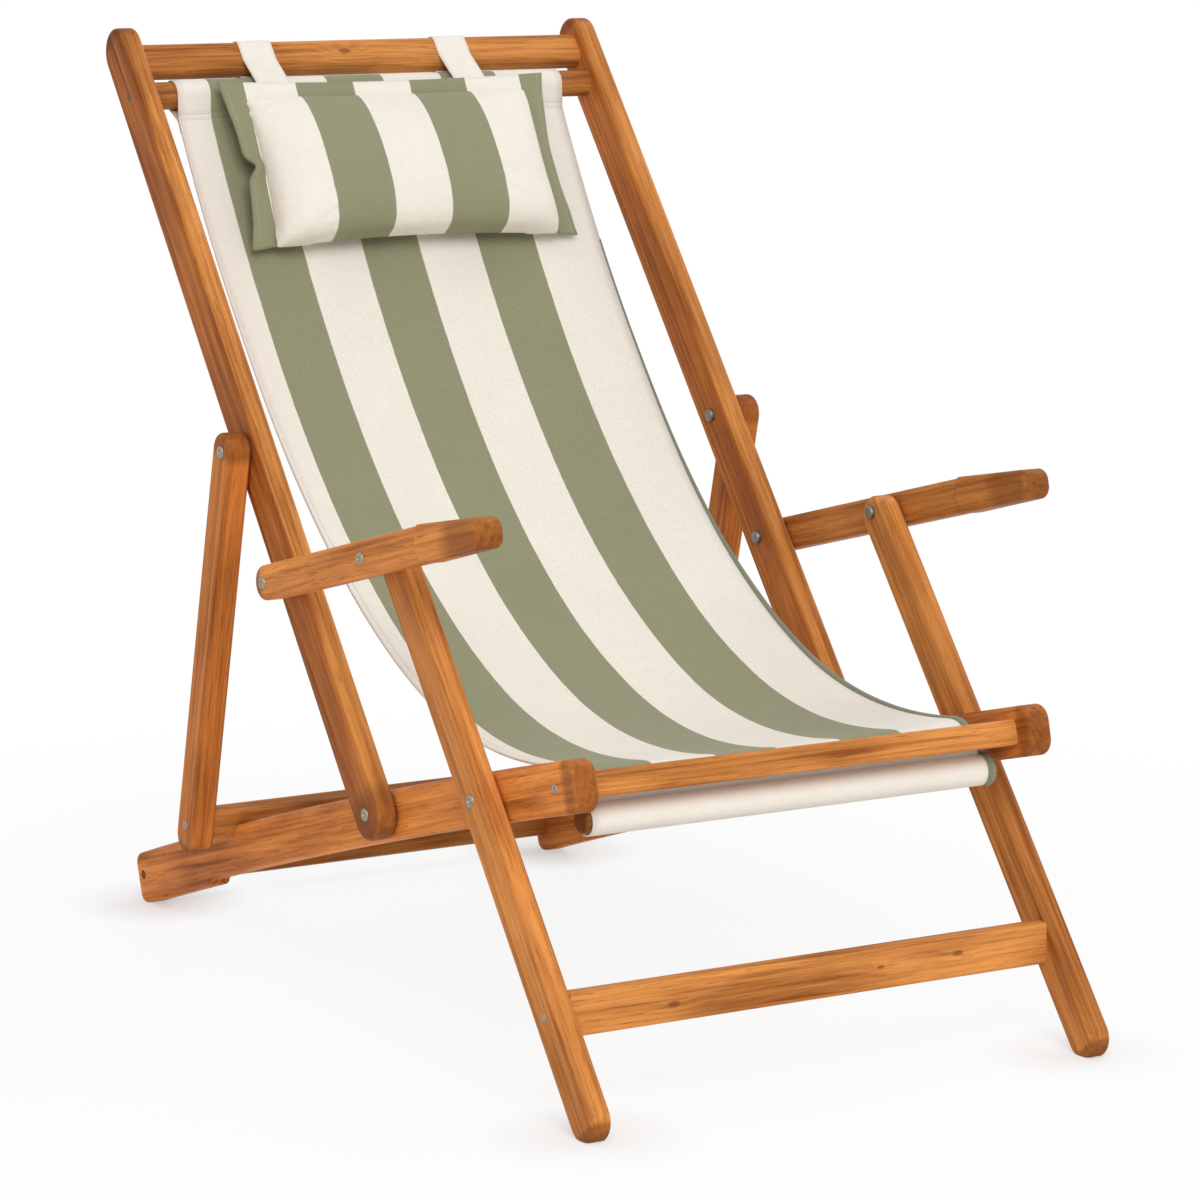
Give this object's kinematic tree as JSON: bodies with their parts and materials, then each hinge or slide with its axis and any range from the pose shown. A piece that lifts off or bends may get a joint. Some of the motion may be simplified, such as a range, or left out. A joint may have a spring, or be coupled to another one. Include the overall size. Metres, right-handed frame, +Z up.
{
  "type": "folding lounge chair",
  "caption": "Reclined folding lounge chair of oiled wooden bars with a striped cloth sling, a strapped head pillow, armrests and a prop that sits in notched rails.",
  "frame": {"origin": "floor level, on the middle plane, half way between the foremost and the rearmost point at rest", "axes": "+X across the chair to its right as seen from the front, +Y towards its back, +Z up"},
  "size_m": [0.616, 1.0152, 0.9216],
  "materials": {
    "oiled_wood": "satin oil",
    "dark_wood": "matte",
    "striped_canvas": "woven stripes",
    "strap_canvas": "woven",
    "steel": "satin",
    "dark_steel": "dark, matte"
  },
  "bodies": {
    "seat_frame": {"left_seat_rail": "oiled_wood", "right_seat_rail": "oiled_wood", "front_seat_bar": "oiled_wood", "sling_catch_bar": "oiled_wood", "rear_floor_bar": "oiled_wood", "front_sling_rod": "oiled_wood", "sling_seat": "striped_canvas", "front_bar_screws": "dark_steel", "rear_bar_plugs": "dark_wood", "back_pivot_bolts": "steel", "back_pivot_nuts": "steel", "back_pivot_washers": "steel", "leg_pivot_bolts": "steel", "leg_pivot_nuts": "steel", "leg_pivot_washers": "steel"},
    "back_frame": {"left_back_stile": "oiled_wood", "right_back_stile": "oiled_wood", "top_bar": "oiled_wood", "top_sling_dowel": "oiled_wood", "sling_back": "striped_canvas", "head_pillow": "striped_canvas", "left_pillow_strap": "strap_canvas", "right_pillow_strap": "strap_canvas", "top_dowel_screws": "dark_steel", "arm_back_bolts": "steel", "arm_back_nuts": "steel", "arm_back_washers": "steel", "strut_pivot_bolts": "steel", "strut_pivot_nuts": "steel", "strut_pivot_washers": "steel"},
    "leg_frame": {"left_front_leg": "oiled_wood", "right_front_leg": "oiled_wood", "front_stretcher": "oiled_wood", "stretcher_screws": "dark_steel", "arm_leg_bolts": "steel", "arm_leg_nuts": "steel", "arm_leg_washers": "steel"},
    "left_arm": {"left_armrest": "oiled_wood"},
    "right_arm": {"right_armrest": "oiled_wood"},
    "strut_frame": {"left_back_strut": "oiled_wood", "right_back_strut": "oiled_wood", "strut_crossbar": "oiled_wood", "crossbar_screws": "dark_steel"}
  },
  "joints": [
    {"name": "back_fold", "type": "hinge", "parent": "seat_frame", "child": "back_frame", "pos_m": [0, -0.08186, 0.209], "axis": [1, 0, 0], "range_deg": [0, 96]},
    {"name": "leg_fold", "type": "hinge", "parent": "seat_frame", "child": "leg_frame", "pos_m": [0, -0.29078, 0.26264], "axis": [1, 0, 0], "range_deg": [0, 96]},
    {"name": "left_arm_swing", "type": "hinge", "parent": "back_frame", "child": "left_arm", "pos_m": [0, 0.07783, 0.40832], "axis": [1, 0, 0], "range_deg": [-96, 0]},
    {"name": "right_arm_swing", "type": "hinge", "parent": "back_frame", "child": "right_arm", "pos_m": [0, 0.07783, 0.40832], "axis": [1, 0, 0], "range_deg": [-96, 0]},
    {"name": "strut_swing", "type": "hinge", "parent": "back_frame", "child": "strut_frame", "pos_m": [0, 0.17011, 0.52351], "axis": [1, 0, 0], "range_deg": [-37.5, 0]}
  ],
  "couplings": [
    {"joint": "leg_fold", "follows": "back_fold", "ratio": 1},
    {"joint": "left_arm_swing", "follows": "back_fold", "ratio": -1},
    {"joint": "right_arm_swing", "follows": "back_fold", "ratio": -1},
    {"joint": "strut_swing", "follows": "back_fold", "ratio": -0.39}
  ]
}
